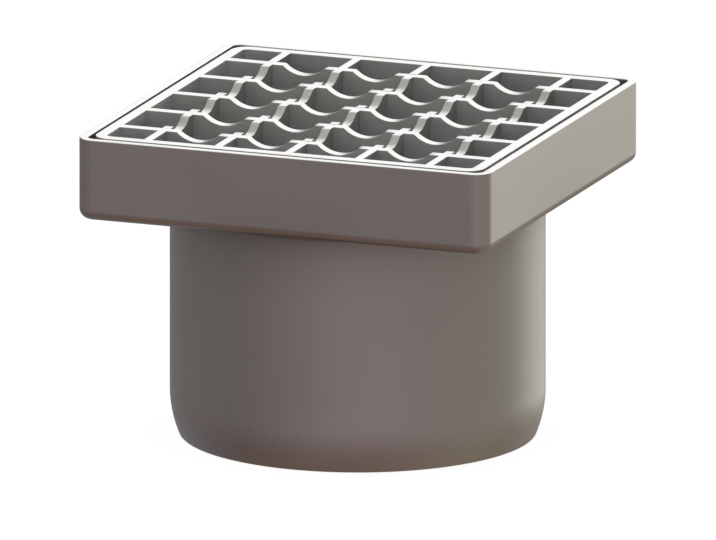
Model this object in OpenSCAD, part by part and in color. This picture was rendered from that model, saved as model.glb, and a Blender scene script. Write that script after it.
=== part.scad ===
// Square floor drain top: a pressed tray on a round spigot, with a lift-out grate of
// scalloped bars that slot into each other. Millimetres, +Z up. The origin is the centre
// of the spigot's lower end, which the drain top stands on. The front faces -Y.

/* [Tray] */
// Side of the square tray, outside
tray_w = 200; // [196:1:240]
// Height of the tray, from the underside of its floor to its rim
tray_h = 38; // [30:1:60]
// Thickness of the tray's sheet
tray_t = 4; // [3.5:0.5:4]
// Radius of the tray's upright corners, outside
corner_r = 8; // [7:0.5:20]
// Radius of the bend between the tray's walls and its floor, outside
bend_r = 5; // [4.5:0.5:6]
// Radius of the bend that turns the floor down into the spigot's neck, on the underside
neck_bend_r = 2.5; // [1:0.5:4]

/* [Spigot] */
// Diameter of the round spigot, outside
spigot_d = 171; // [100:1:174]
// Thickness of the spigot's wall
spigot_t = 3; // [1.5:0.5:3]
// Length of the spigot below the tray, with the neck that it is welded to
spigot_l = 112.5; // [40:0.5:200]
// Height of the spigot's turned-in end
end_h = 21; // [5:1:30]
// Radius of the curve that turns the end in
end_r = 54; // [40:1:120]

/* [Grate] */
// Gap between the grate and the tray's walls
grate_gap = 1.75; // [0.5:0.25:3]
// Thickness of the band round the grate
border_t = 5.3; // [3:0.1:6]
// Radius of the grate's upright corners, outside
grate_corner_r = 8; // [6.5:0.5:16]
// Thickness of a bar
bar_t = 4; // [2:0.5:5]
// Distance from one bar's middle to the next, both ways
bar_pitch = 34.15; // [30:0.05:36]
// Height that the bars stay clear of the tray's floor, so that it drains
bar_lift = 4; // [0:0.5:10]

/* [Scallops] */
// Depth of a scallop below the top of the grate
scallop_depth = 4; // [1:0.25:6]
// Flat top left on each side of a crossing, from the bar's middle
crossing_flat = 7; // [4:0.5:9]

/* [Hidden] */
// Bars each way
bar_count = 5;
// A bar slot is this much wider than the bar that it takes
slot_clearance = 0.1;

spigot_r = spigot_d / 2;
bore_r = spigot_r - spigot_t;
floor_z = spigot_l + tray_t;

// The neck ends, and the spigot begins, where the bend on the underside has turned upright
neck_z = spigot_l - neck_bend_r;
neck_outer_r = spigot_r + neck_bend_r;
// The floor's upper side bends round wider, and the sheet thins to the spigot's wall
neck_top_bend_r = neck_outer_r - bore_r;
neck_top_bend_z = floor_z - neck_top_bend_r;

grate_w = tray_w - 2 * (tray_t + grate_gap);
grate_h = tray_h - tray_t;
grate_inner_w = grate_w - 2 * border_t;
bar_h = grate_h - bar_lift;
bar_z = floor_z + bar_lift;
slot_h = bar_h / 2;
slot_w = bar_t + slot_clearance;

// A scallop is an arc through the ends of the two flats beside it
scallop_half = bar_pitch / 2 - crossing_flat;
scallop_r = (pow(scallop_half, 2) + pow(scallop_depth, 2)) / (2 * scallop_depth);
scallop_count = bar_count - 1;

// A cut runs this much past the face that it leaves
past = 1;

BARS = [1 : bar_count];
$fn = 96;

// Middle of bar number i, or of the gap after it, measured from the grate's middle
function bar_pos(i) = (i - (bar_count + 1) / 2) * bar_pitch;

// One quarter of a ring, or of a disc when inner_r is 0, between the +X and +Y axes
module quarter_ring(outer_r, inner_r) {
    intersection() {
        difference() {
            circle(outer_r);
            if (inner_r > 0) circle(inner_r);
        }
        square(outer_r + past);
    }
}

// Carries an upright section round a square with rounded corners. The section's X is
// measured outwards from the corners' centres, and its Y becomes the height.
module round_the_square(w, r) {
    straight = w - 2 * r;
    for (turn = [0 : 90 : 270]) rotate([0, 0, turn]) {
        translate([straight / 2, straight / 2, 0]) rotate_extrude(angle = 90) children();
        translate([straight / 2, straight / 2, 0]) rotate([90, 0, 0]) linear_extrude(straight) children();
    }
}

// The tray's wall and the bend at its foot, out to the corner radius
module tray_section() {
    translate([corner_r - tray_t, bend_r]) square([tray_t, tray_h - bend_r]);
    translate([corner_r - bend_r, bend_r]) mirror([0, 1]) quarter_ring(bend_r, bend_r - tray_t);
    square([corner_r - bend_r, tray_t]);
}

// The floor bent down into a short neck for the spigot, out to where the floor is flat
module neck_section() {
    translate([neck_outer_r, 0]) difference() {
        union() {
            translate([0, neck_top_bend_z]) mirror([1, 0]) quarter_ring(neck_top_bend_r, 0);
            translate([-neck_top_bend_r, neck_z]) square([neck_top_bend_r, neck_top_bend_z - neck_z]);
        }
        translate([0, neck_z]) circle(neck_bend_r);
    }
}

module tray() {
    flat_w = tray_w - 2 * corner_r;
    color("silver") {
        translate([0, 0, spigot_l]) difference() {
            union() {
                round_the_square(tray_w, corner_r) tray_section();
                translate([-flat_w / 2, -flat_w / 2, 0]) cube([flat_w, flat_w, tray_t]);
            }
            translate([0, 0, -past]) cylinder(r = neck_outer_r, h = tray_t + 2 * past);
        }
        rotate_extrude() neck_section();
    }
}

// Half of the spigot's upright section: a straight wall whose lower end curves inwards
module spigot_section() {
    translate([bore_r, end_h]) square([spigot_t, neck_z - end_h]);
    translate([spigot_r - end_r, end_h]) mirror([0, 1]) intersection() {
        quarter_ring(end_r, end_r - spigot_t);
        square([end_r, end_h]);
    }
}

module spigot() {
    color("silver") rotate_extrude() spigot_section();
}

module grate_border() {
    color("silver") translate([0, 0, floor_z])
        round_the_square(grate_w, grate_corner_r)
            translate([grate_corner_r - border_t, 0]) square([border_t, grate_h]);
}

// Upright outline of a bar, its length along X and its foot at Y = 0
module bar_outline() {
    difference() {
        translate([-grate_inner_w / 2, 0]) square([grate_inner_w, bar_h]);
        for (i = [1 : scallop_count])
            translate([bar_pos(i) + bar_pitch / 2, bar_h + scallop_r - scallop_depth]) circle(scallop_r);
    }
}

// Slots for the bars that cross this one, from a height up
module bar_slots(from_h) {
    for (i = BARS) translate([bar_pos(i) - slot_w / 2, from_h]) square([slot_w, slot_h + past]);
}

module bearing_bar(i) {
    color("gainsboro") translate([bar_pos(i) + bar_t / 2, 0, bar_z])
        rotate([90, 0, -90]) linear_extrude(bar_t) difference() {
            bar_outline();
            bar_slots(slot_h);
        }
}

module cross_bar(i) {
    color("gainsboro") translate([0, bar_pos(i) + bar_t / 2, bar_z])
        rotate([90, 0, 0]) linear_extrude(bar_t) difference() {
            bar_outline();
            bar_slots(-past);
        }
}

tray();
spigot();
grate_border();
for (i = BARS) {
    bearing_bar(i);
    cross_bar(i);
}
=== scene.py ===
"""A square floor drain top in satin stainless steel: a pressed tray on a round spigot, with a
lift-out mesh grate of scalloped bars. Lengths are in metres, and the front faces -Y.
"""

import math
from typing import NamedTuple

import bmesh
import bpy
from bpy.props import FloatProperty, FloatVectorProperty, IntProperty, PointerProperty
from bpy.types import Operator, Panel, PropertyGroup
from mathutils import Matrix, Vector


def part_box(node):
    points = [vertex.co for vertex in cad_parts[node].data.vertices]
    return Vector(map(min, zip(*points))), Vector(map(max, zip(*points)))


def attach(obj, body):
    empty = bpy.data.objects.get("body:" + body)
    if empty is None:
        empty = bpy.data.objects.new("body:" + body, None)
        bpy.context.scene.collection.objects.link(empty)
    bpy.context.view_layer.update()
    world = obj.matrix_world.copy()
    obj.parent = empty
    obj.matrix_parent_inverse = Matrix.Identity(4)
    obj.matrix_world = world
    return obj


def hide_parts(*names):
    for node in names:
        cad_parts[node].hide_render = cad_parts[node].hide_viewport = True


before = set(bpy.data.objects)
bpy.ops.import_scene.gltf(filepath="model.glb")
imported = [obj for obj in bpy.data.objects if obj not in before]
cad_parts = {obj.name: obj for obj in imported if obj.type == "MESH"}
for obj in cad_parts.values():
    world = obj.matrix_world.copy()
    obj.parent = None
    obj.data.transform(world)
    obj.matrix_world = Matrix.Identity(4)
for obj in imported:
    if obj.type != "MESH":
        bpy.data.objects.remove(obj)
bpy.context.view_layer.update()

bl_info = {
    "name": "Drain Top",
    "version": (1, 0, 0),
    "blender": (4, 5, 0),
    "location": "View3D > Sidebar > Drain Top",
    "description": "Builds a square stainless steel drain top with a lift-out mesh grate",
    "category": "Object",
}

BODY = "root"
MM = 0.001
BAR_NUMBERS = range(1, 6)
PHOTO_WIDTH_PX = 716

# Points closer than this are merged
SAME_POINT = 0.001 * MM
# Places closer than this count as level with each other
TOLERANCE = 0.01 * MM
# An edge is softened where its faces meet at more than this angle
SOFTENED_FROM = math.radians(28)
# An edge shows as a crease where its faces meet at more than this angle
CREASED_FROM = math.radians(50)

TRAY_LOW, TRAY_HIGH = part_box("tray")
SPIGOT_LOW, SPIGOT_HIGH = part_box("spigot")
BAND_LOW, BAND_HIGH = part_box("grate_border")
BAR_LOW, BAR_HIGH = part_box("cross_bar_1")
NEXT_BAR_LOW, NEXT_BAR_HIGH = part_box("cross_bar_2")
BEARING_BAR_LOW, BEARING_BAR_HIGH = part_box("bearing_bar_1")


class TraySettings(PropertyGroup):
    """Sizes of the pressed tray"""

    sheet: FloatProperty(
        name="Sheet",
        description="Thickness of the tray's sheet",
        default=4 * MM,
        unit="LENGTH",
    )
    corner_radius: FloatProperty(
        name="Corner radius",
        description="Outside radius of the upright corners",
        default=8 * MM,
        unit="LENGTH",
    )
    bend_radius: FloatProperty(
        name="Bend radius",
        description="Outside radius of the bend between the walls and the floor",
        default=5 * MM,
        unit="LENGTH",
    )
    neck_bend_radius: FloatProperty(
        name="Neck bend radius",
        description="Radius of the bend into the spigot's neck, on the underside",
        default=2.5 * MM,
        unit="LENGTH",
    )
    edge_break: FloatProperty(
        name="Edge break",
        description="Width of the softened edges",
        default=0.4 * MM,
        unit="LENGTH",
    )
    side_steps: IntProperty(
        name="Side steps",
        description="Stations along one side, which also divide the round opening",
        default=40,
        min=8,
        max=64,
    )


class SpigotSettings(PropertyGroup):
    """Sizes of the round spigot and its weld"""

    wall: FloatProperty(
        name="Wall",
        description="Thickness of the spigot's wall",
        default=3 * MM,
        unit="LENGTH",
    )
    end_height: FloatProperty(
        name="End height",
        description="Height of the turned-in end",
        default=21 * MM,
        unit="LENGTH",
    )
    end_radius: FloatProperty(
        name="End radius",
        description="Radius of the curve that turns the end in",
        default=54 * MM,
        unit="LENGTH",
    )
    edge_break: FloatProperty(
        name="Edge break",
        description="Width of the softened edges",
        default=0.4 * MM,
        unit="LENGTH",
    )
    weld_width: FloatProperty(
        name="Weld width",
        description="Width of the weld bead between the spigot and the tray's neck",
        default=3.4 * MM,
        unit="LENGTH",
    )
    bead_height: FloatProperty(
        name="Bead height",
        description="How far the weld bead stands out on the outside",
        default=0.175 * MM,
        unit="LENGTH",
    )
    root_height: FloatProperty(
        name="Root height",
        description="How far the weld's root stands out on the inside",
        default=0.35 * MM,
        unit="LENGTH",
    )
    bead_lift: FloatProperty(
        name="Bead lift",
        description="How far the middle of the outside bead lies above the seam",
        default=0.5 * MM,
        unit="LENGTH",
    )
    ripple_pitch: FloatProperty(
        name="Ripple pitch",
        description="Distance from one ripple of the weld to the next",
        default=1.9 * MM,
        unit="LENGTH",
    )
    ripple_share: FloatProperty(
        name="Ripple share",
        description="Share of the bead's height by which its ripples rise and fall",
        default=0.35,
        subtype="FACTOR",
        min=0,
        max=1,
    )
    ripple_bow: FloatProperty(
        name="Ripple bow",
        description="How far a ripple's ends lag behind its middle, a whole ripple being a turn",
        default=2.2,
        subtype="ANGLE",
    )


class GrateSettings(PropertyGroup):
    """Sizes of the grate's band and bars"""

    corner_radius: FloatProperty(
        name="Corner radius",
        description="Outside radius of the band's upright corners",
        default=8 * MM,
        unit="LENGTH",
    )
    scallop_depth: FloatProperty(
        name="Scallop depth",
        description="Depth of a scallop below the top of the grate",
        default=4 * MM,
        unit="LENGTH",
    )
    crossing_flat: FloatProperty(
        name="Crossing flat",
        description="Flat top left on each side of a crossing, from the bar's middle",
        default=7 * MM,
        unit="LENGTH",
    )
    cross_bar_thickness: FloatProperty(
        name="Cross bar thickness",
        description="Thickness of the bars that run from left to right",
        default=5 * MM,
        unit="LENGTH",
    )
    slot_clearance: FloatProperty(
        name="Slot clearance",
        description="A slot is this much wider than the bar that it takes",
        default=0.02 * MM,
        unit="LENGTH",
    )
    edge_break: FloatProperty(
        name="Edge break",
        description="Width of the softened edges",
        default=0.15 * MM,
        unit="LENGTH",
    )


class SteelSettings(PropertyGroup):
    """Colours and finish of the steel"""

    sheet_colour: FloatVectorProperty(
        name="Sheet colour",
        description="Colour of the pickled tray and spigot",
        default=(0.44, 0.41, 0.40),
        subtype="COLOR",
        min=0,
        max=1,
    )
    rolled_colour: FloatVectorProperty(
        name="Rolled colour",
        description="Colour of the rolled sides of the grate's band and cross bars",
        default=(0.68, 0.685, 0.68),
        subtype="COLOR",
        min=0,
        max=1,
    )
    # Painted shade: the bearing bars' sides are the same rolled steel as the cross bars' sides,
    # painted darker so that the cells look shaded towards their corners
    bearing_colour: FloatVectorProperty(
        name="Bearing bar colour",
        description="Colour of the rolled sides of the bars that run front to back",
        default=(0.45, 0.45, 0.445),
        subtype="COLOR",
        min=0,
        max=1,
    )
    cut_colour: FloatVectorProperty(
        name="Cut colour",
        description="Colour of the tray's rim and of the cut edges of the band and bars",
        default=(0.52, 0.52, 0.496),
        subtype="COLOR",
        min=0,
        max=1,
    )
    weld_colour: FloatVectorProperty(
        name="Weld colour",
        description="Colour of the cleaned weld",
        default=(0.40, 0.375, 0.355),
        subtype="COLOR",
        min=0,
        max=1,
    )
    # Painted shade: the three settings below darken the steel round the weld, under the tray's
    # edge, as the shade that falls there
    stain_colour: FloatVectorProperty(
        name="Stain colour",
        description="Colour that the weld's heat has stained the steel beside it",
        default=(0.10, 0.08, 0.07),
        subtype="COLOR",
        min=0,
        max=1,
    )
    stain_strength: FloatProperty(
        name="Stain strength",
        description="Share of the stain's colour at the weld",
        default=0.62,
        subtype="FACTOR",
        min=0,
        max=1,
    )
    stain_reach: FloatProperty(
        name="Stain reach",
        description="Distance from the weld at which about a third of the stain is left",
        default=9 * MM,
        unit="LENGTH",
    )
    roughness: FloatProperty(
        name="Roughness",
        description="Roughness of the satin tray, spigot, weld and cut edges",
        default=0.32,
        subtype="FACTOR",
        min=0,
        max=1,
    )
    rolled_roughness: FloatProperty(
        name="Rolled roughness",
        description="Roughness of the rolled sides of the grate's band and bars",
        default=0.52,
        subtype="FACTOR",
        min=0,
        max=1,
    )


class StageSettings(PropertyGroup):
    """Camera, floor and studio light"""

    azimuth: FloatProperty(
        name="Azimuth",
        description="How far the camera stands round to the right of the front",
        default=math.radians(20.695),
        subtype="ANGLE",
    )
    elevation: FloatProperty(
        name="Elevation",
        description="How far the camera looks down",
        default=math.radians(13.741),
        subtype="ANGLE",
    )
    aim_height: FloatProperty(
        name="Aim height",
        description="Height that the middle of the picture looks at",
        default=75.05 * MM,
        unit="LENGTH",
    )
    aim_aside: FloatProperty(
        name="Aim aside",
        description="How far to the right of the axis the middle of the picture looks",
        default=0.1 * MM,
        unit="LENGTH",
    )
    camera_distance: FloatProperty(
        name="Camera distance",
        description="Distance from the camera to what it looks at",
        default=1.5,
        unit="LENGTH",
    )
    pixels_per_metre: FloatProperty(
        name="Pixels per metre",
        description="Scale of the picture",
        default=2199.6,
    )
    floor_reach: FloatProperty(
        name="Floor reach",
        description="Distance from the middle of the floor to its sides",
        default=4,
        unit="LENGTH",
    )
    floor_colour: FloatVectorProperty(
        name="Floor colour",
        description="Colour of the floor in the light that it throws back at the object",
        default=(0.8, 0.8, 0.8),
        subtype="COLOR",
        min=0,
        max=1,
    )
    floor_shade: FloatVectorProperty(
        name="Floor shade",
        description="The part of the floor's seen colour that the object's shadow takes away",
        default=(0.16, 0.16, 0.16),
        subtype="COLOR",
        min=0,
        max=1,
    )
    floor_glow: FloatProperty(
        name="Floor glow",
        description="The part of the floor's seen colour that stays in the shadow",
        default=0.90,
        subtype="FACTOR",
        min=0,
        max=1,
    )


def settings():
    """The sizes and colours of this drain top."""
    return bpy.context.scene.drain_top


class Section:
    """A section line drawn edge by edge in the XZ plane of a new bmesh."""

    def __init__(self, x, z):
        self.mesh = bmesh.new()
        self.start = self.mesh.verts.new((x, 0, z))
        self.tip = self.start

    def line(self, x, z):
        """Draws a straight line to a point."""
        made = bmesh.ops.extrude_vert_indiv(self.mesh, verts=[self.tip])
        self.tip = made["verts"][0]
        self.tip.co = (x, 0, z)

    def arc(self, x, z, turn, steps):
        """Swings the tip round a point, by an angle counted from +X towards +Z."""
        made = bmesh.ops.spin(
            self.mesh, geom=[self.tip], cent=(x, 0, z), axis=(0, -1, 0), angle=turn, steps=steps
        )
        self.tip = next(v for v in made["geom_last"] if isinstance(v, bmesh.types.BMVert))

    def corner(self, x, z, next_x, next_z, radius, steps):
        """Draws a line towards a corner and round it on an arc, ready for the next point."""
        here = Vector((x, z))
        back = (Vector((self.tip.co.x, self.tip.co.z)) - here).normalized()
        on = (Vector((next_x, next_z)) - here).normalized()
        half_angle = back.angle(on) / 2
        touch = here + back * radius / math.tan(half_angle)
        centre = here + (back + on).normalized() * radius / math.sin(half_angle)
        side = math.copysign(1, back.x * on.y - back.y * on.x)
        self.line(*touch)
        self.arc(*centre, -side * (math.pi - 2 * half_angle), steps)

    def close(self):
        """Joins the tip to the first point."""
        bmesh.ops.contextual_create(self.mesh, geom=[self.tip, self.start])


def edges_of(geometry):
    """The edges in what an operator made."""
    return [item for item in geometry if isinstance(item, bmesh.types.BMEdge)]


def verts_of(geometry):
    """The vertices in what an operator made."""
    return [item for item in geometry if isinstance(item, bmesh.types.BMVert)]


def spin_full(mesh, steps):
    """Carries a closed section once round the upright axis."""
    bmesh.ops.spin(
        mesh,
        geom=mesh.verts[:] + mesh.edges[:],
        cent=(0, 0, 0),
        axis=(0, 0, 1),
        angle=math.tau,
        steps=steps,
        use_merge=True,
    )


def sweep_round_square(mesh, half, side_steps, corner_steps):
    """Carries a section in the XZ plane round a square whose corners' centres are half from the
    middle. The section's X is measured outwards from those centres. The stations along a side
    stand at equal angles seen from the middle, so that a circle inside can meet them."""
    bmesh.ops.translate(mesh, vec=(half, -half, 0), verts=mesh.verts[:])
    front = mesh.edges[:]
    quarter = math.pi / 4
    for step in range(1, side_steps + 1):
        made = bmesh.ops.extrude_edge_only(mesh, edges=front)["geom"]
        station = half * math.tan(quarter * (2 * step / side_steps - 1))
        for vert in verts_of(made):
            vert.co.y = station
        front = edges_of(made)
    last = list(dict.fromkeys(vert for edge in front for vert in edge.verts)) + front
    bmesh.ops.spin(
        mesh,
        geom=last,
        cent=(half, half, 0),
        axis=(0, 0, 1),
        angle=math.pi / 2,
        steps=corner_steps,
    )
    bmesh.ops.spin(
        mesh,
        geom=mesh.verts[:] + mesh.edges[:] + mesh.faces[:],
        cent=(0, 0, 0),
        axis=(0, 0, 1),
        angle=math.pi * 1.5,
        steps=3,
        use_duplicate=True,
    )
    bmesh.ops.remove_doubles(mesh, verts=mesh.verts[:], dist=SAME_POINT)


def break_edges(mesh, width, keep=lambda edge: False):
    """Softens every edge at which two faces meet sharply, apart from those to keep."""
    mesh.normal_update()
    sharp = [
        edge
        for edge in mesh.edges
        if len(edge.link_faces) == 2
        and edge.calc_face_angle() > SOFTENED_FROM
        and not keep(edge)
    ]
    bmesh.ops.bevel(
        mesh,
        geom=sharp,
        offset=width,
        offset_type="OFFSET",
        segments=2,
        profile=0.5,
        affect="EDGES",
        clamp_overlap=True,
        material=-1,
    )


def lies_flat(face):
    """Whether a face leans less than 60 degrees from level."""
    return abs(face.normal.z) > 0.5


def give_second_finish(mesh, takes_second):
    """Gives a piece's second material to the faces that pass a test, and its first to the rest."""
    mesh.normal_update()
    for face in mesh.faces:
        face.material_index = int(takes_second(face))


def add_piece(mesh, name, materials, node=None):
    """Turns a bmesh into a piece that rides on the part, and stands for a node if one is given."""
    bmesh.ops.recalc_face_normals(mesh, faces=mesh.faces[:])
    data = bpy.data.meshes.new(name)
    mesh.to_mesh(data)
    mesh.free()
    for material in materials:
        data.materials.append(material)
    data.shade_smooth()
    data.set_sharp_from_angle(angle=CREASED_FROM)
    piece = bpy.data.objects.new(name, data)
    bpy.context.scene.collection.objects.link(piece)
    even = piece.modifiers.new("even_shading", "WEIGHTED_NORMAL")
    even.keep_sharp = True
    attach(piece, BODY)
    if node:
        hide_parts(node)


class Nodes:
    """Short names for adding and joining the nodes of one material or world."""

    def __init__(self, tree):
        self.tree = tree
        tree.nodes.clear()

    def add(self, kind, **values):
        """Adds a node and sets its own values."""
        node = self.tree.nodes.new(kind)
        for name, value in values.items():
            setattr(node, name, value)
        return node

    def join(self, source, target):
        """Leads an output into an input."""
        self.tree.links.new(source, target)

    def noise(self, coords, stretch, detail):
        """Noise whose grains are one over the stretch in size, along each axis."""
        place = self.add("ShaderNodeMapping")
        place.inputs["Scale"].default_value = stretch
        self.join(coords, place.inputs["Vector"])
        noise = self.add("ShaderNodeTexNoise")
        noise.inputs["Scale"].default_value = 1.0
        noise.inputs["Detail"].default_value = detail
        self.join(place.outputs["Vector"], noise.inputs["Vector"])
        return noise.outputs["Fac"]

    def spread(self, source, low, high, source_low=0.3, source_high=0.7):
        """Maps one range of values onto another. The first is the middle of a noise, unless it
        is given."""
        spread = self.add("ShaderNodeMapRange")
        spread.inputs["From Min"].default_value = source_low
        spread.inputs["From Max"].default_value = source_high
        spread.inputs["To Min"].default_value = low
        spread.inputs["To Max"].default_value = high
        self.join(source, spread.inputs["Value"])
        return spread.outputs["Result"]


def stain_by_weld(nodes, coords, colour):
    """Paints shade into a colour round the spigot's weld, darkest at the seam under the tray and
    fading with distance from it.
    """
    steel = settings().steel
    flat = nodes.add("ShaderNodeVectorMath", operation="MULTIPLY")
    nodes.join(coords, flat.inputs[0])
    flat.inputs[1].default_value = (1, 1, 0)
    radius = nodes.add("ShaderNodeVectorMath", operation="LENGTH")
    nodes.join(flat.outputs["Vector"], radius.inputs[0])
    split = nodes.add("ShaderNodeSeparateXYZ")
    nodes.join(coords, split.inputs["Vector"])
    place = nodes.add("ShaderNodeCombineXYZ")
    nodes.join(radius.outputs["Value"], place.inputs["X"])
    nodes.join(split.outputs["Z"], place.inputs["Z"])
    away = nodes.add("ShaderNodeVectorMath", operation="DISTANCE")
    nodes.join(place.outputs["Vector"], away.inputs[0])
    away.inputs[1].default_value = (SPIGOT_HIGH.x, 0, SPIGOT_HIGH.z)
    reach = nodes.add("ShaderNodeMath", operation="DIVIDE")
    nodes.join(away.outputs["Value"], reach.inputs[0])
    reach.inputs[1].default_value = -steel.stain_reach
    fade = nodes.add("ShaderNodeMath", operation="EXPONENT")
    nodes.join(reach.outputs["Value"], fade.inputs[0])
    stain = nodes.add("ShaderNodeMath", operation="MULTIPLY")
    nodes.join(fade.outputs["Value"], stain.inputs[0])
    stain.inputs[1].default_value = steel.stain_strength
    mix = nodes.add("ShaderNodeMix", data_type="RGBA", blend_type="MIX")
    nodes.join(stain.outputs["Value"], mix.inputs["Factor"])
    nodes.join(colour, mix.inputs["A"])
    mix.inputs["B"].default_value = (*steel.stain_colour, 1)
    return mix.outputs["Result"]


# Clouds and specks of grit to a metre of steel, along each axis
CLOUDS = (22, 22, 22)
GRIT = (2600, 2600, 2600)
# Share of the clouds in the shading of the steel, beside its lines
CLOUD_SHARE = 0.6
# How far the clouds and the lines raise and lower the roughness
CLOUD_ROUGHNESS = 0.03
LINE_ROUGHNESS = 0.02
# How strongly the lines and the grit show in the light
RELIEF = 0.12


def make_steel(name, colour, roughness, grain, depth=0.02 * MM, clouding=0.05, stained=False):
    """Satin stainless steel. Grain is how many of its fine lines lie on a metre along each axis,
    depth is how deep they are, and clouding is the share by which its colour varies."""
    material = bpy.data.materials.new(name)
    material.use_nodes = True
    nodes = Nodes(material.node_tree)
    output = nodes.add("ShaderNodeOutputMaterial")
    shader = nodes.add("ShaderNodeBsdfPrincipled")
    shader.inputs["Metallic"].default_value = 1.0
    nodes.join(shader.outputs["BSDF"], output.inputs["Surface"])
    coords = nodes.add("ShaderNodeTexCoord").outputs["Object"]

    clouds = nodes.noise(coords, CLOUDS, detail=4)
    lines = nodes.noise(coords, grain, detail=3)
    grit = nodes.noise(coords, GRIT, detail=2)

    shade = nodes.add("ShaderNodeMix", data_type="RGBA", blend_type="MIX")
    shade.inputs["A"].default_value = (*[c * (1 - clouding) for c in colour], 1)
    shade.inputs["B"].default_value = (*[min(1, c * (1 + clouding)) for c in colour], 1)
    blend = nodes.add("ShaderNodeMath", operation="ADD")
    nodes.join(nodes.spread(clouds, 0, CLOUD_SHARE), blend.inputs[0])
    nodes.join(nodes.spread(lines, 0, 1 - CLOUD_SHARE), blend.inputs[1])
    nodes.join(blend.outputs["Value"], shade.inputs["Factor"])
    shown = shade.outputs["Result"]
    # Painted shade, darkest at the weld under the tray's edge
    if stained:
        shown = stain_by_weld(nodes, coords, shown)
    nodes.join(shown, shader.inputs["Base Color"])

    rough = nodes.add("ShaderNodeMath", operation="ADD")
    smoothest = roughness - CLOUD_ROUGHNESS
    roughest = roughness + CLOUD_ROUGHNESS
    nodes.join(nodes.spread(clouds, smoothest, roughest), rough.inputs[0])
    nodes.join(nodes.spread(lines, -LINE_ROUGHNESS, LINE_ROUGHNESS), rough.inputs[1])
    nodes.join(rough.outputs["Value"], shader.inputs["Roughness"])

    heights = nodes.add("ShaderNodeMath", operation="ADD")
    nodes.join(lines, heights.inputs[0])
    nodes.join(grit, heights.inputs[1])
    bump = nodes.add("ShaderNodeBump")
    bump.inputs["Strength"].default_value = RELIEF
    bump.inputs["Distance"].default_value = depth
    nodes.join(heights.outputs["Value"], bump.inputs["Height"])
    nodes.join(bump.outputs["Normal"], shader.inputs["Normal"])
    return material


def bend_down(mesh, rim, radius, bend, end, steps):
    """Draws a flat rim in to a circle and bends it down into a neck of a radius, as far as a
    height."""
    height = rim[0].verts[0].co.z
    profile = [(radius + bend, height)]
    for step in range(1, steps + 1):
        angle = math.pi / 2 * step / steps
        place = radius + bend * (1 - math.sin(angle))
        profile.append((place, height - bend * (1 - math.cos(angle))))
    if profile[-1][1] > end + TOLERANCE:
        profile.append((radius, end))
    for place, level in profile:
        made = bmesh.ops.extrude_edge_only(mesh, edges=rim)["geom"]
        rim = edges_of(made)
        for vert in verts_of(made):
            vert.co.xy = vert.co.xy.normalized() * place
            vert.co.z = level
    return rim


class DRAIN_OT_tray(Operator):
    """Build the pressed tray, its floor bent down into the spigot's neck"""

    bl_idname = "drain_top.tray"
    bl_label = "Tray"

    def execute(self, context):
        tray = settings().tray
        steel = settings().steel
        half = TRAY_HIGH.x - tray.corner_radius
        wall_in = tray.corner_radius - tray.sheet
        floor = BAND_LOW.z
        underside = floor - tray.sheet
        neck_radius = SPIGOT_HIGH.x
        bore_radius = neck_radius - settings().spigot.wall

        inner_bend = tray.bend_radius - tray.sheet
        section = Section(0, floor)
        section.corner(wall_in, floor, wall_in, TRAY_HIGH.z, inner_bend, steps=4)
        section.line(wall_in, TRAY_HIGH.z)
        section.line(tray.corner_radius, TRAY_HIGH.z)
        section.corner(tray.corner_radius, underside, 0, underside, tray.bend_radius, steps=8)
        section.line(0, underside)
        mesh = section.mesh
        sweep_round_square(mesh, half, tray.side_steps, corner_steps=12)

        rims = [edge for edge in mesh.edges if edge.is_boundary]
        upper = [edge for edge in rims if edge.verts[0].co.z > (floor + underside) / 2]
        lower = [edge for edge in rims if edge not in upper]
        lower_bend = tray.neck_bend_radius
        upper_bend = neck_radius + lower_bend - bore_radius
        inside = bend_down(mesh, upper, bore_radius, upper_bend, TRAY_LOW.z, steps=10)
        outside = bend_down(mesh, lower, neck_radius, lower_bend, TRAY_LOW.z, steps=6)
        bmesh.ops.bridge_loops(mesh, edges=inside + outside)

        at_weld = TRAY_LOW.z + TOLERANCE
        break_edges(mesh, tray.edge_break, keep=lambda edge: edge.verts[0].co.z < at_weld)
        rim_foot = TRAY_HIGH.z - tray.edge_break

        def on_rim(face):
            """Whether a face is on the top edge of the tray's wall."""
            return lies_flat(face) and face.calc_center_median().z > rim_foot

        give_second_finish(mesh, on_rim)
        sheet = make_steel(
            "tray_steel",
            steel.sheet_colour,
            steel.roughness,
            grain=(30, 30, 2200),
            stained=True,
        )
        rim = make_steel(
            "rim_edge",
            steel.cut_colour,
            steel.roughness,
            grain=(500, 500, 30),
            depth=0.05 * MM,
        )
        add_piece(mesh, "tray_pan", [sheet, rim], "tray")
        return {"FINISHED"}


class DRAIN_OT_spigot(Operator):
    """Build the round spigot with its turned-in end"""

    bl_idname = "drain_top.spigot"
    bl_label = "Spigot"

    def execute(self, context):
        spigot = settings().spigot
        steel = settings().steel
        outer = SPIGOT_HIGH.x
        turn = math.asin(spigot.end_height / spigot.end_radius)
        inner_radius = spigot.end_radius - spigot.wall
        inner_turn = math.asin(spigot.end_height / inner_radius)
        centre = outer - spigot.end_radius

        section = Section(outer, SPIGOT_HIGH.z)
        section.line(outer, spigot.end_height)
        section.arc(centre, spigot.end_height, -turn, steps=10)
        section.line(centre + inner_radius * math.cos(inner_turn), SPIGOT_LOW.z)
        section.arc(centre, spigot.end_height, inner_turn, steps=10)
        section.line(outer - spigot.wall, SPIGOT_HIGH.z)
        section.close()
        mesh = section.mesh
        # The spigot has the same stations as the tray's neck, so that the two meet
        spin_full(mesh, steps=4 * settings().tray.side_steps)
        at_weld = SPIGOT_HIGH.z - TOLERANCE
        break_edges(mesh, spigot.edge_break, keep=lambda edge: edge.verts[0].co.z > at_weld)
        sheet = make_steel(
            "spigot_steel",
            steel.sheet_colour,
            steel.roughness,
            grain=(1500, 1500, 25),
            stained=True,
        )
        add_piece(mesh, "spigot_tube", [sheet], "spigot")
        return {"FINISHED"}


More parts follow.
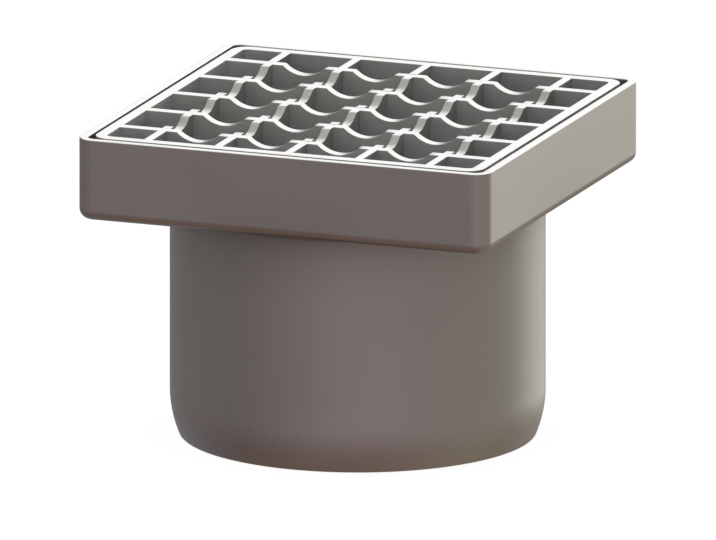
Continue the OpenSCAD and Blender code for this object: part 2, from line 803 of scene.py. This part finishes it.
def make_bead(mesh, wall, crown, middle):
    """Adds a rippled weld bead round the axis, with its crown on one side of a wall's radius."""
    spigot = settings().spigot
    half_width = spigot.weld_width / 2
    rise = abs(crown - wall)
    radius = (half_width**2 + rise**2) / (2 * rise)
    swing = 2 * math.asin(half_width / radius)
    side = math.copysign(1, crown - wall)
    ripples = round(math.tau * wall / spigot.ripple_pitch)
    steps_per_ripple = 4

    section = Section(wall, middle - half_width)
    section.arc(crown - side * radius, middle, side * swing, steps=8)
    section.line(wall - side * rise, middle)
    section.close()
    bead = section.mesh
    spin_full(bead, ripples * steps_per_ripple)
    for vert in bead.verts:
        place = (vert.co.z - middle) / half_width
        turn = math.atan2(vert.co.y, vert.co.x) * ripples + spigot.ripple_bow * place**2
        lift = spigot.ripple_share * rise * math.cos(turn) * (1 - place**2)
        vert.co.xy += vert.co.xy.normalized() * side * lift
    bmesh.ops.recalc_face_normals(bead, faces=bead.faces[:])
    data = bpy.data.meshes.new("bead")
    bead.to_mesh(data)
    bead.free()
    mesh.from_mesh(data)
    bpy.data.meshes.remove(data)


class DRAIN_OT_weld(Operator):
    """Build the weld between the spigot and the tray's neck, a bead outside and its root inside"""

    bl_idname = "drain_top.weld"
    bl_label = "Weld"

    def execute(self, context):
        spigot = settings().spigot
        steel = settings().steel
        outer = SPIGOT_HIGH.x
        bore = outer - spigot.wall
        seam = SPIGOT_HIGH.z
        mesh = bmesh.new()
        make_bead(mesh, outer, outer + spigot.bead_height, seam + spigot.bead_lift)
        make_bead(mesh, bore, bore - spigot.root_height, seam)
        finish = make_steel(
            "weld_steel",
            steel.weld_colour,
            steel.roughness,
            grain=(900, 900, 900),
            stained=True,
        )
        add_piece(mesh, "spigot_weld", [finish])
        return {"FINISHED"}


class DRAIN_OT_band(Operator):
    """Build the band that frames the grate"""

    bl_idname = "drain_top.band"
    bl_label = "Grate band"

    def execute(self, context):
        grate = settings().grate
        steel = settings().steel
        half = BAND_HIGH.x - grate.corner_radius
        thickness = BAND_HIGH.x - BAR_HIGH.x
        inner = grate.corner_radius - thickness

        section = Section(inner, BAND_LOW.z)
        section.line(inner, BAND_HIGH.z)
        section.line(grate.corner_radius, BAND_HIGH.z)
        section.line(grate.corner_radius, BAND_LOW.z)
        section.close()
        mesh = section.mesh
        sweep_round_square(mesh, half, side_steps=8, corner_steps=10)
        break_edges(mesh, grate.edge_break)
        give_second_finish(mesh, lies_flat)
        sides = make_steel(
            "band_sides",
            steel.rolled_colour,
            steel.rolled_roughness,
            grain=(30, 30, 2200),
        )
        edges = make_steel("band_edges", steel.cut_colour, steel.roughness, grain=(700, 700, 30))
        add_piece(mesh, "grate_band", [sides, edges], "grate_border")
        return {"FINISHED"}


def draw_bar(slots_from_top, crossing):
    """The upright outline of a bar, centred on X = 0, with its foot at Z = 0. Crossing is the
    thickness of the bars that its slots take."""
    grate = settings().grate
    pitch = NEXT_BAR_LOW.y - BAR_LOW.y
    # The ends run into the band by the width of its softened edge, so that no gap shows
    half_length = (BAR_HIGH.x - BAR_LOW.x) / 2 + grate.edge_break
    height = BAR_HIGH.z - BAR_LOW.z
    half_slot = (crossing + grate.slot_clearance) / 2
    slot_end = height / 2
    half_scallop = pitch / 2 - grate.crossing_flat
    depth = grate.scallop_depth
    radius = (half_scallop**2 + depth**2) / (2 * depth)
    swing = 2 * math.asin(half_scallop / radius)
    middle_number = (BAR_NUMBERS[0] + BAR_NUMBERS[-1]) / 2
    crossings = [(number - middle_number) * pitch for number in BAR_NUMBERS]

    outline = Section(-half_length, 0)
    for x in crossings:
        if not slots_from_top:
            outline.line(x - half_slot, 0)
            outline.line(x - half_slot, slot_end)
            outline.line(x + half_slot, slot_end)
            outline.line(x + half_slot, 0)
    outline.line(half_length, 0)
    outline.line(half_length, height)
    for x in reversed(crossings):
        outline.line(x + half_slot, height)
        if slots_from_top:
            outline.line(x + half_slot, slot_end)
            outline.line(x - half_slot, slot_end)
        outline.line(x - half_slot, height)
        if x > crossings[0]:
            outline.line(x - grate.crossing_flat, height)
            outline.arc(x - pitch / 2, height + radius - depth, -swing, steps=16)
    outline.line(-half_length, height)
    outline.close()
    return outline.mesh, crossings, half_slot


def make_bar(slots_from_top, thickness, crossing):
    """A bar along X, with its foot at Z = 0, ready to be turned and moved into place."""
    grate = settings().grate
    mesh, crossings, half_slot = draw_bar(slots_from_top, crossing)
    bmesh.ops.contextual_create(mesh, geom=mesh.edges[:])
    made = bmesh.ops.extrude_face_region(mesh, geom=mesh.faces[:])["geom"]
    bmesh.ops.translate(mesh, vec=(0, thickness, 0), verts=verts_of(made))
    bmesh.ops.translate(mesh, vec=(0, -thickness / 2, 0), verts=mesh.verts[:])

    def keep(edge):
        """Edges in a crossing, at a bar's end or across its thickness stay as cut."""
        first, second = (vert.co for vert in edge.verts)
        middle = (first + second) / 2
        near = half_slot + TOLERANCE
        in_slot = any(abs(middle.x - x) < near for x in crossings)
        at_end = abs(middle.x) > BAR_HIGH.x
        return in_slot or at_end or abs(first.y - second.y) > thickness / 2

    def is_cut(face):
        """Whether a face is on a cut edge, and not on or near one of the bar's rolled sides."""
        return abs(face.normal.y) <= 0.9

    break_edges(mesh, grate.edge_break, keep)
    give_second_finish(mesh, is_cut)
    return mesh


def stand_bar(mesh, node):
    """Moves a bar from the middle to where its node of the frame stands."""
    low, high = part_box(node)
    place = ((low.x + high.x) / 2, (low.y + high.y) / 2, low.z)
    bmesh.ops.translate(mesh, vec=place, verts=mesh.verts[:])


def make_bar_finishes(direction, side_colour, edge_grain):
    """The rolled sides and the cut edges of the bars that run one way."""
    steel = settings().steel
    sides = make_steel(
        f"bar_{direction}_sides",
        side_colour,
        steel.rolled_roughness,
        grain=(60, 60, 1400),
    )
    edges = make_steel(
        f"bar_{direction}_edges",
        steel.cut_colour,
        steel.roughness,
        grain=edge_grain,
        depth=0.05 * MM,
        clouding=0.10,
    )
    return [sides, edges]


class DRAIN_OT_bars(Operator):
    """Build the five bars each way and slot them into each other"""

    bl_idname = "drain_top.bars"
    bl_label = "Grate bars"

    def execute(self, context):
        steel = settings().steel
        across = settings().grate.cross_bar_thickness
        along = BEARING_BAR_HIGH.x - BEARING_BAR_LOW.x
        across_steel = make_bar_finishes("across", steel.rolled_colour, edge_grain=(750, 40, 40))
        # The bearing bars take a darker copy of the rolled steel, as painted shade inside the
        # cells
        along_steel = make_bar_finishes("along", steel.bearing_colour, edge_grain=(40, 750, 40))
        for number in BAR_NUMBERS:
            node = f"cross_bar_{number}"
            mesh = make_bar(slots_from_top=False, thickness=across, crossing=along)
            stand_bar(mesh, node)
            add_piece(mesh, f"bar_across_{number}", across_steel, node)

            node = f"bearing_bar_{number}"
            mesh = make_bar(slots_from_top=True, thickness=along, crossing=across)
            turn = Matrix.Rotation(math.pi / 2, 3, "Z")
            bmesh.ops.rotate(mesh, matrix=turn, verts=mesh.verts[:])
            stand_bar(mesh, node)
            add_piece(mesh, f"bar_along_{number}", along_steel, node)
        return {"FINISHED"}


def look_from(azimuth, elevation):
    """Unit vector from the object towards a place seen at these angles."""
    level = math.cos(elevation)
    return Vector((math.sin(azimuth) * level, -math.cos(azimuth) * level, math.sin(elevation)))


# Light of the studio's walls by height, from straight down at -1 to straight up at 1
STUDIO_WALLS = (
    (-1.0, (0.15, 0.12, 0.11)),
    (-0.9, (0.28, 0.20, 0.16)),
    (-0.6, (0.21, 0.155, 0.14)),
    (-0.3, (0.27, 0.245, 0.245)),
    (0.25, (0.21, 0.23, 0.205)),
    (1.0, (0.19, 0.21, 0.17)),
)


class SoftLight(NamedTuple):
    """A soft light on the studio's walls. Angles are in degrees, and azimuths run round from the
    front to the right. It is full out to one angle from its middle and gone at another. Flatten
    is how many times as wide as high it is."""

    azimuth: float
    elevation: float
    full: float
    gone: float
    flatten: float
    colour: tuple


# What the steel mirrors in the studio, from behind the object round to the camera's side
STUDIO_LIGHTS = (
    # The white cloth behind it, which the tops of the grate mirror
    SoftLight(178, 25, 25, 32, 0.8, (1.6, 1.57, 1.64)),
    # The cloth's lower part and the floor in front of it, on the slopes of the scallops
    SoftLight(160, -1, 14, 45, 2.3, (0.91, 0.93, 0.87)),
    SoftLight(135, -30, 20, 90, 1.1, (0.14, 0.145, 0.09)),
    # The room on the camera's side, on the tray's front and the spigot
    SoftLight(30, 5, 0, 105, 1.2, (0.225, 0.185, 0.19)),
    # A cool patch of floor behind on the left, low on the spigot
    SoftLight(225, -40, 5, 45, 2.0, (0.0, 0.10, 0.20)),
    # The ceiling, on the steep ends of the scallops
    SoftLight(15, 85, 40, 70, 1.2, (0.51, 0.485, 0.49)),
)


def chord(angle):
    """Distance between two places on a sphere of radius 1 that stand this many degrees apart."""
    return 2 * math.sin(math.radians(angle / 2))


def make_floor_material():
    """A pale floor, which the camera sees as white with the object's shadow on it."""
    stage = settings().stage
    material = bpy.data.materials.new("pale_floor")
    material.use_nodes = True
    nodes = Nodes(material.node_tree)
    output = nodes.add("ShaderNodeOutputMaterial")
    pale = nodes.add("ShaderNodeBsdfDiffuse")
    pale.inputs["Color"].default_value = (*stage.floor_colour, 1)
    shaded = nodes.add("ShaderNodeBsdfDiffuse")
    shaded.inputs["Color"].default_value = (*stage.floor_shade, 1)
    white = nodes.add("ShaderNodeEmission")
    white.inputs["Strength"].default_value = stage.floor_glow
    seen = nodes.add("ShaderNodeAddShader")
    nodes.join(shaded.outputs["BSDF"], seen.inputs[0])
    nodes.join(white.outputs["Emission"], seen.inputs[1])
    path = nodes.add("ShaderNodeLightPath")
    mix = nodes.add("ShaderNodeMixShader")
    nodes.join(path.outputs["Is Camera Ray"], mix.inputs["Fac"])
    nodes.join(pale.outputs["BSDF"], mix.inputs[1])
    nodes.join(seen.outputs["Shader"], mix.inputs[2])
    nodes.join(mix.outputs["Shader"], output.inputs["Surface"])
    return material


class DRAIN_OT_stage(Operator):
    """Set up the floor, the studio light and the camera"""

    bl_idname = "drain_top.stage"
    bl_label = "Stage"

    def execute(self, context):
        self.add_camera(context.scene)
        self.add_floor()
        self.add_world(context.scene)
        context.scene.view_settings.view_transform = "Standard"
        return {"FINISHED"}

    def add_camera(self, scene):
        """Sets up a camera without perspective."""
        stage = settings().stage
        camera = bpy.data.cameras.new("camera")
        camera.type = "ORTHO"
        camera.ortho_scale = PHOTO_WIDTH_PX / stage.pixels_per_metre
        holder = bpy.data.objects.new("camera", camera)
        scene.collection.objects.link(holder)
        away = look_from(stage.azimuth, stage.elevation)
        aside = Vector((math.cos(stage.azimuth), math.sin(stage.azimuth), 0)) * stage.aim_aside
        aim = Vector((0, 0, stage.aim_height)) + aside
        holder.location = aim + away * stage.camera_distance
        holder.rotation_mode = "QUATERNION"
        holder.rotation_quaternion = (-away).to_track_quat("-Z", "Y")
        scene.camera = holder

    def add_floor(self):
        """Lays the floor that the object stands on."""
        mesh = bmesh.new()
        reach = settings().stage.floor_reach
        bmesh.ops.create_grid(mesh, x_segments=8, y_segments=8, size=reach)
        data = bpy.data.meshes.new("floor")
        mesh.to_mesh(data)
        mesh.free()
        data.materials.append(make_floor_material())
        floor = bpy.data.objects.new("floor", data)
        bpy.context.scene.collection.objects.link(floor)
        # The steel mirrors the studio's own floor, which is darker
        floor.visible_glossy = False

    def add_glow(self, nodes, way, total, light):
        """Adds one soft light to what the world gives off."""
        middle = look_from(math.radians(light.azimuth), math.radians(light.elevation))
        away = nodes.add("ShaderNodeVectorMath", operation="SUBTRACT")
        nodes.join(way, away.inputs[0])
        away.inputs[1].default_value = middle
        flat = nodes.add("ShaderNodeVectorMath", operation="MULTIPLY")
        nodes.join(away.outputs["Vector"], flat.inputs[0])
        flat.inputs[1].default_value = (1, 1, light.flatten)
        far = nodes.add("ShaderNodeVectorMath", operation="LENGTH")
        nodes.join(flat.outputs["Vector"], far.inputs[0])
        fade = nodes.add("ShaderNodeMapRange", interpolation_type="SMOOTHSTEP")
        fade.inputs["From Min"].default_value = chord(light.full)
        fade.inputs["From Max"].default_value = chord(light.gone)
        fade.inputs["To Min"].default_value = 1
        fade.inputs["To Max"].default_value = 0
        nodes.join(far.outputs["Value"], fade.inputs["Value"])
        tint = nodes.add("ShaderNodeVectorMath", operation="SCALE")
        tint.inputs["Vector"].default_value = light.colour
        nodes.join(fade.outputs["Result"], tint.inputs["Scale"])
        both = nodes.add("ShaderNodeVectorMath", operation="ADD")
        nodes.join(total, both.inputs[0])
        nodes.join(tint.outputs["Vector"], both.inputs[1])
        return both.outputs["Vector"]

    def add_studio(self, nodes):
        """Makes what the steel mirrors: walls shaded by height, and the soft lights on them."""
        way = nodes.add("ShaderNodeTexCoord").outputs["Generated"]
        split = nodes.add("ShaderNodeSeparateXYZ")
        nodes.join(way, split.inputs["Vector"])
        ramp = nodes.add("ShaderNodeValToRGB")
        share = nodes.spread(split.outputs["Z"], 0, 1, source_low=-1, source_high=1)
        nodes.join(share, ramp.inputs["Fac"])
        stops = ramp.color_ramp.elements
        while len(stops) < len(STUDIO_WALLS):
            stops.new(0.5)
        for stop, (height, colour) in zip(stops, STUDIO_WALLS):
            stop.position = (height + 1) / 2
            stop.color = (*colour, 1)
        total = ramp.outputs["Color"]
        for light in STUDIO_LIGHTS:
            total = self.add_glow(nodes, way, total, light)
        return total

    def add_world(self, scene):
        """Lights the object plain white, and shows the studio only to what mirrors it."""
        world = bpy.data.worlds.new("studio")
        scene.world = world
        world.use_nodes = True
        nodes = Nodes(world.node_tree)
        output = nodes.add("ShaderNodeOutputWorld")
        studio = nodes.add("ShaderNodeBackground")
        nodes.join(self.add_studio(nodes), studio.inputs["Color"])
        plain = nodes.add("ShaderNodeBackground")
        white = nodes.add("ShaderNodeBackground")
        for background in (plain, white):
            background.inputs["Color"].default_value = (1, 1, 1, 1)

        path = nodes.add("ShaderNodeLightPath")
        mirrored = nodes.add("ShaderNodeMath", operation="ADD", use_clamp=True)
        nodes.join(path.outputs["Is Glossy Ray"], mirrored.inputs[0])
        nodes.join(path.outputs["Is Transmission Ray"], mirrored.inputs[1])
        room = nodes.add("ShaderNodeMixShader")
        nodes.join(mirrored.outputs["Value"], room.inputs["Fac"])
        nodes.join(plain.outputs["Background"], room.inputs[1])
        nodes.join(studio.outputs["Background"], room.inputs[2])
        mix = nodes.add("ShaderNodeMixShader")
        nodes.join(path.outputs["Is Camera Ray"], mix.inputs["Fac"])
        nodes.join(room.outputs["Shader"], mix.inputs[1])
        nodes.join(white.outputs["Background"], mix.inputs[2])
        nodes.join(mix.outputs["Shader"], output.inputs["Surface"])


class DrainTopSettings(PropertyGroup):
    """Everything that can be changed on the drain top"""

    tray: PointerProperty(type=TraySettings)
    spigot: PointerProperty(type=SpigotSettings)
    grate: PointerProperty(type=GrateSettings)
    steel: PointerProperty(type=SteelSettings)
    stage: PointerProperty(type=StageSettings)


STEPS = (
    DRAIN_OT_stage,
    DRAIN_OT_tray,
    DRAIN_OT_spigot,
    DRAIN_OT_weld,
    DRAIN_OT_band,
    DRAIN_OT_bars,
)


class DRAIN_PT_panel(Panel):
    """Lists the drain top's steps in the sidebar"""

    bl_label = "Drain Top"
    bl_idname = "DRAIN_PT_panel"
    bl_space_type = "VIEW_3D"
    bl_region_type = "UI"
    bl_category = "Drain Top"

    def draw(self, context):
        for step in STEPS:
            self.layout.operator(step.bl_idname)


SETTINGS = (
    TraySettings,
    SpigotSettings,
    GrateSettings,
    SteelSettings,
    StageSettings,
    DrainTopSettings,
)
CLASSES = (*SETTINGS, *STEPS, DRAIN_PT_panel)


def register():
    for cls in CLASSES:
        bpy.utils.register_class(cls)
    bpy.types.Scene.drain_top = PointerProperty(type=DrainTopSettings)


def unregister():
    del bpy.types.Scene.drain_top
    for cls in reversed(CLASSES):
        bpy.utils.unregister_class(cls)


def main():
    register()
    bpy.ops.drain_top.stage()
    bpy.ops.drain_top.tray()
    bpy.ops.drain_top.spigot()
    bpy.ops.drain_top.weld()
    bpy.ops.drain_top.band()
    bpy.ops.drain_top.bars()


if __name__ == "__main__":
    main()
